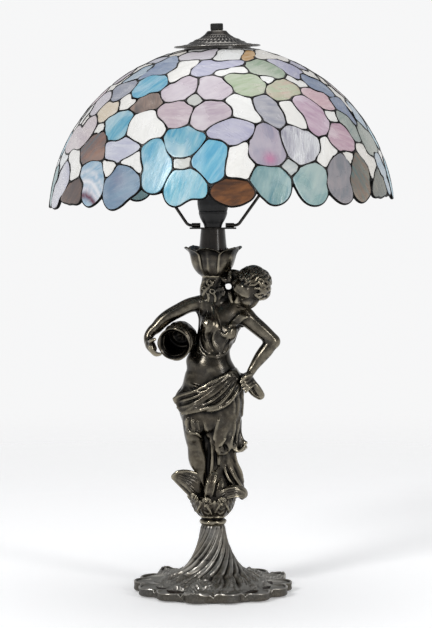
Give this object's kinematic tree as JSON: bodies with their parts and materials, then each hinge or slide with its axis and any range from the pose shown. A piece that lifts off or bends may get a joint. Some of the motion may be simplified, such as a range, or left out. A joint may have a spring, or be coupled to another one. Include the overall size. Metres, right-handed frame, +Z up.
{
  "type": "leaded-glass table lamp",
  "caption": "Table lamp with a domed leaded-glass shade of flowers and leaves, hung on a harp above a cast figure stem with a jar and a scalloped foot.",
  "frame": {"origin": "middle of the felt pad's underside, on the table, under the lamp pipe's axis", "axes": "+Z up along the lamp pipe; the front of the figure faces -Y; +X to the right seen from the front"},
  "size_m": [0.3998, 0.398, 0.6607],
  "materials": {
    "antique_bronze": "satin",
    "pewter_casting": "satin",
    "felt": "matte",
    "ballast_iron": "matte",
    "black_plastic": "satin",
    "steel": "satin",
    "dark_steel": "satin",
    "brass": "satin",
    "ceramic": "matte",
    "bulb_metal": "satin",
    "frosted_glass": "matte",
    "clear_glass": "gloss",
    "pewter_cap": "satin",
    "black_knob": "gloss",
    "solder": "satin",
    "glass_pearl": "gloss",
    "glass_brown": "gloss",
    "glass_steel": "gloss",
    "glass_centre": "gloss",
    "glass_blue": "gloss",
    "glass_lilac": "gloss",
    "glass_pink": "gloss",
    "glass_ice": "gloss",
    "glass_mauve": "gloss",
    "glass_ripple": "gloss",
    "glass_teal": "gloss",
    "glass_grey": "gloss",
    "glass_green": "gloss",
    "glass_rose": "gloss",
    "glass_amber": "gloss",
    "glass_white": "gloss"
  },
  "bodies": {
    "root": {"ballast_ring": "ballast_iron", "centre_contact": "brass", "collar_ring": "pewter_casting", "cord_bush": "black_plastic", "cup_leaf_left": "antique_bronze", "cup_leaf_right": "antique_bronze", "felt_pad": "felt", "figure_arm_left": "antique_bronze", "figure_arm_right": "antique_bronze", "figure_body": "antique_bronze", "figure_head": "antique_bronze", "foot_casting": "pewter_casting", "harp_arm_left": "dark_steel", "harp_arm_right": "dark_steel", "harp_crown": "dark_steel", "harp_ferrules": "dark_steel", "harp_saddle": "dark_steel", "harp_stud": "steel", "hip_drape": "antique_bronze", "lamp_pipe": "steel", "lampholder_body": "black_plastic", "lampholder_cap": "black_plastic", "leaf_cup": "antique_bronze", "pipe_nut": "steel", "pipe_washer": "steel", "socket_insert": "ceramic", "socket_neck": "dark_steel", "socket_shell": "brass", "stud_nut": "steel", "support_stem": "antique_bronze", "terminal_screws": "brass", "tulip_cup": "antique_bronze", "water_jar": "antique_bronze"},
    "seat": {"seat_washer": "steel"},
    "shade": {"shade_cap": "pewter_cap", "shade_ring": "brass", "foil_and_solder": "solder", "glass_pearl": "glass_pearl", "glass_brown": "glass_brown", "glass_steel": "glass_steel", "glass_centre": "glass_centre", "glass_blue": "glass_blue", "glass_lilac": "glass_lilac", "glass_pink": "glass_pink", "glass_ice": "glass_ice", "glass_mauve": "glass_mauve", "glass_ripple": "glass_ripple", "glass_teal": "glass_teal", "glass_grey": "glass_grey", "glass_green": "glass_green", "glass_rose": "glass_rose", "glass_amber": "glass_amber", "glass_white": "glass_white"},
    "finial": {"finial_knob": "black_knob"},
    "bulb": {"bulb_contact": "brass", "bulb_cap": "bulb_metal", "bulb_globe": "frosted_glass", "bulb_stem": "clear_glass", "bulb_filament": "steel"}
  },
  "joints": [
    {"name": "shade_turn", "type": "hinge", "parent": "root", "child": "seat", "pos_m": [0.0045, 0, 0.65], "axis": [-0.0262, 0, 0.9997], "continuous": true},
    {"name": "shade_lift", "type": "slide", "parent": "seat", "child": "shade", "axis": [-0.0262, 0, 0.9997], "range_m": [0, 0.25]},
    {"name": "finial_turn", "type": "hinge", "parent": "shade", "child": "finial", "pos_m": [0.0045, 0, 0.65], "axis": [-0.0262, 0, 0.9997], "continuous": true},
    {"name": "bulb_turn", "type": "hinge", "parent": "root", "child": "bulb", "pos_m": [0, 0, 0.5], "axis": [0, 0, 1], "continuous": true}
  ]
}
